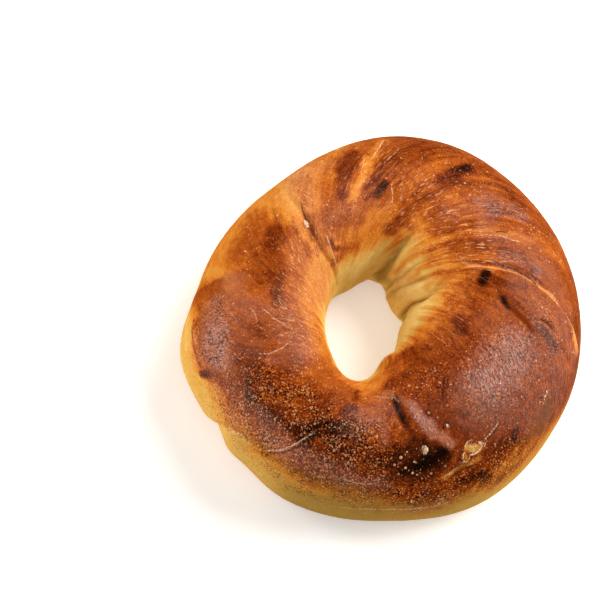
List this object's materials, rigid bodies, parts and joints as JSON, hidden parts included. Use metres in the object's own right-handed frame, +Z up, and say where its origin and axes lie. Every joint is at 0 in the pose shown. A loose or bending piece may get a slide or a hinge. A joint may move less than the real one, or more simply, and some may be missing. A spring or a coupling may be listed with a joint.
{
  "type": "acma",
  "caption": "Soft ring-shaped bread roll with a glossy browned crust, overlapping dough ends and folds running into its off-centre hole; food that lies flat on a plate or tray.",
  "frame": {"origin": "on the surface it lies on, under the middle of its box", "axes": "+Z up; -Y towards the side nearest the camera in the picture; +X towards the thickest part of the rope"},
  "size_m": [0.1166, 0.1239, 0.0431],
  "materials": {
    "crust": "baked bread crust with egg wash: glossy brown on top, pale golden on the flanks"
  },
  "bodies": {
    "root": {"bread_ring": "crust"}
  },
  "joints": []
}
